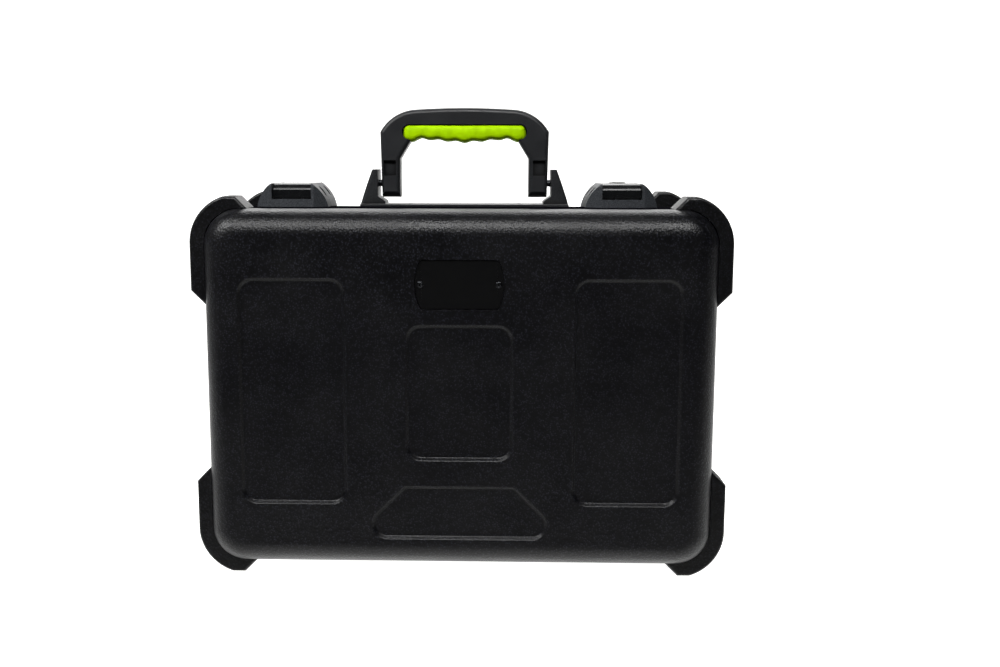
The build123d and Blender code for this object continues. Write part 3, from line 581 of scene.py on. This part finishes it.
def eggCrateTree(v):  # a slab whose open side rises and falls as two crossed waves
    inputs = dict(Width="Float", Height="Float", Columns="Int", Rows="Int", Thickness="Float", Corner="Float",
                  Pitch="Float", Wave="Float", Middle="Vector", Finish="Material")
    tree, given = newTree("convolutedFoam", inputs)
    size = {"Size X": given["Width"], "Size Y": given["Height"],
            "Vertices X": given["Columns"], "Vertices Y": given["Rows"]}
    flat = addNode(tree, "GeometryNodeMeshGrid", size).outputs["Mesh"]
    at = addNode(tree, "GeometryNodeInputPosition").outputs[0]
    parts = addNode(tree, "ShaderNodeSeparateXYZ", {0: at}).outputs
    held = []  # each point held inside the rectangle of the corner centres
    for i, key in enumerate(("Width", "Height")):
        half = calc(tree, "SUBTRACT", calc(tree, "MULTIPLY", given[key], 0.5), given["Corner"])
        inside = calc(tree, "MINIMUM", parts[i], half)
        held.append(calc(tree, "MAXIMUM", inside, calc(tree, "MULTIPLY", half, -1.0)))
    heart = addNode(tree, "ShaderNodeCombineXYZ", {"X": held[0], "Y": held[1]}).outputs[0]
    out = addNode(tree, "ShaderNodeVectorMath", {0: at, 1: heart}, operation="SUBTRACT").outputs[0]
    reach = addNode(tree, "ShaderNodeVectorMath", {0: out}, operation="LENGTH").outputs["Value"]
    safe = calc(tree, "MAXIMUM", reach, v["least"] * mm)
    share = calc(tree, "MINIMUM", 1.0, calc(tree, "DIVIDE", given["Corner"], safe))
    pulled = addNode(tree, "ShaderNodeVectorMath", {0: out, "Scale": share}, operation="SCALE").outputs[0]
    rounded = addNode(tree, "ShaderNodeVectorMath", {0: heart, 1: pulled}, operation="ADD").outputs[0]
    slab = addNode(tree, "GeometryNodeSetPosition", {"Geometry": flat, "Position": rounded}).outputs[0]
    values = {"Mesh": slab, "Offset Scale": given["Thickness"], "Individual": False}
    raised = addNode(tree, "GeometryNodeExtrudeMesh", values, mode="FACES")
    again = addNode(tree, "ShaderNodeSeparateXYZ", {0: at}).outputs
    turns = calc(tree, "DIVIDE", 2 * math.pi, given["Pitch"])
    swings = [calc(tree, "COSINE", calc(tree, "MULTIPLY", again[i], turns)) for i in (0, 1)]
    crossed = calc(tree, "MULTIPLY", swings[0], swings[1])
    drop = calc(tree, "MULTIPLY", calc(tree, "SUBTRACT", crossed, 1.0), given["Wave"])
    sink = addNode(tree, "ShaderNodeCombineXYZ", {"Z": drop}).outputs[0]
    values = {"Geometry": raised.outputs["Mesh"], "Selection": raised.outputs["Top"], "Offset": sink}
    waved = addNode(tree, "GeometryNodeSetPosition", values).outputs[0]
    back = addNode(tree, "GeometryNodeFlipFaces", {"Mesh": slab}).outputs[0]
    joined = addNode(tree, "GeometryNodeJoinGeometry")
    tree.links.new(waved, joined.inputs[0])
    tree.links.new(back, joined.inputs[0])
    values = {"Geometry": joined.outputs[0], "Distance": v["merge"] * mm}
    closed = addNode(tree, "GeometryNodeMergeByDistance", values).outputs[0]
    values = {"Geometry": closed, "Translation": given["Middle"], "Rotation": (-math.pi / 2, 0, 0)}
    stood = addNode(tree, "GeometryNodeTransform", values).outputs[0]
    endTree(tree, stood, given["Finish"])
    return tree


def lidFoam(v):
    low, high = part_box("lid_foam")
    wide, deep, tall = (high[i] - low[i] for i in range(3))
    middle = ((low[0] + high[0]) / 2, low[1], (low[2] + high[2]) / 2)
    cell = v["grid"] * mm
    values = dict(Width=wide, Height=tall, Columns=round(wide / cell), Rows=round(tall / cell),
                  Thickness=deep, Corner=v["corner"] * mm, Pitch=v["pitch"] * mm, Wave=v["wave"] * mm,
                  Middle=middle, Finish=mats["foam"])
    pad = growPiece("lidFoamPad", bpy.data.meshes.new("lidFoamStart"), eggCrateTree(v), values)
    finishPiece(pad, "lid", ["lid_foam"])


lidFoam(eggCrate)
print("lid foam cut")

boredFoam = dict(voxel=4.0, softening=6, weld=0.002)


def baseFoam(v):  # the bored block, its cut edges worn soft
    block = linkObject("baseFoamBlock", nodes["base_foam"].data.copy())
    weld = block.modifiers.new("weld", "WELD")
    weld.merge_threshold = v["weld"] * mm
    voxels = block.modifiers.new("voxels", "REMESH")
    voxels.mode = "VOXEL"
    voxels.voxel_size = v["voxel"] * mm
    ease = block.modifiers.new("ease", "SMOOTH")
    ease.iterations = v["softening"]
    mesh = bpy.data.meshes.new_from_object(block.evaluated_get(bpy.context.evaluated_depsgraph_get()))
    block.modifiers.clear()
    block.data = mesh
    mesh.materials.clear()
    mesh.materials.append(mats["foam"])
    smoothFaces(mesh)
    finishPiece(block, "base", ["base_foam"])


baseFoam(boredFoam)
print("base foam bored")

gripShape = dict(
    stations=120, around=40, power=3.4, lowest=17.3, arch=4.7,
    ridgePitch=16.4, ridge=0.7, ridgeFade=12.0, heel=3.2, heelFrom=40.0, heelLength=10.0,
    endRound=7.0, endCurve=2.4, endHeight=0.25, bulge=0.35, taper=0.3, taperFade=0.5,
)


def fingerGrip(v):  # rounded bar with a ridge between each pair of fingers
    low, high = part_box("handle_grip")
    half = (high[0] - low[0]) / 2 / mm
    midX, midY = (low[0] + high[0]) / 2, (low[1] + high[1]) / 2
    deep = (high[1] - low[1]) / 2
    work = bmesh.new()
    rings = []
    for i in range(v["stations"] + 1):
        a = math.pi * i / v["stations"]
        x = -half * math.cos(a)
        inEnd = max(0.0, (abs(x) - half + v["endRound"]) / v["endRound"])
        close = math.sqrt(max(0.0, 1 - inEnd ** v["endCurve"]))
        fade = min(1.0, (half - abs(x)) / v["ridgeFade"])
        heel = min(1.0, max(0.0, (abs(x) - v["heelFrom"]) / v["heelLength"]))
        ridge = v["ridge"] * (math.cos(2 * math.pi * x / v["ridgePitch"]) - 1) * fade
        drop = v["lowest"] - v["arch"] * abs(x / half) + ridge + v["heel"] * heel
        top, bottom = high[2], high[2] - drop * mm
        centre, tall = (top + bottom) / 2, (top - bottom) / 2
        ring = []
        for j in range(v["around"]):
            b = 2 * math.pi * j / v["around"]
            cy = math.copysign(abs(math.cos(b)) ** (2 / v["power"]), math.cos(b))
            cz = math.copysign(abs(math.sin(b)) ** (2 / v["power"]), math.sin(b))
            swell = 1 - v["bulge"] * max(0.0, -cz) * (1 - fade * v["taperFade"]) * v["taper"]
            rise = tall * cz * (v["endHeight"] + (1 - v["endHeight"]) * close)
            ring.append(work.verts.new((midX + x * mm, midY + deep * cy * close * swell, centre + rise)))
        rings.append(ring)
    for near, far in zip(rings, rings[1:]):
        for j in range(v["around"]):
            k = (j + 1) % v["around"]
            work.faces.new((near[j], near[k], far[k], far[j]))
    work.faces.new(rings[0][::-1])
    work.faces.new(rings[-1])
    bmesh.ops.recalc_face_normals(work, faces=work.faces)
    mesh = bpy.data.meshes.new("limeGrip")
    work.to_mesh(mesh)
    work.free()
    smoothFaces(mesh)
    mesh.materials.append(mats["grip"])
    finishPiece(linkObject("limeGrip", mesh), "handle", ["handle_grip"])


fingerGrip(gripShape)
print("grip moulded")
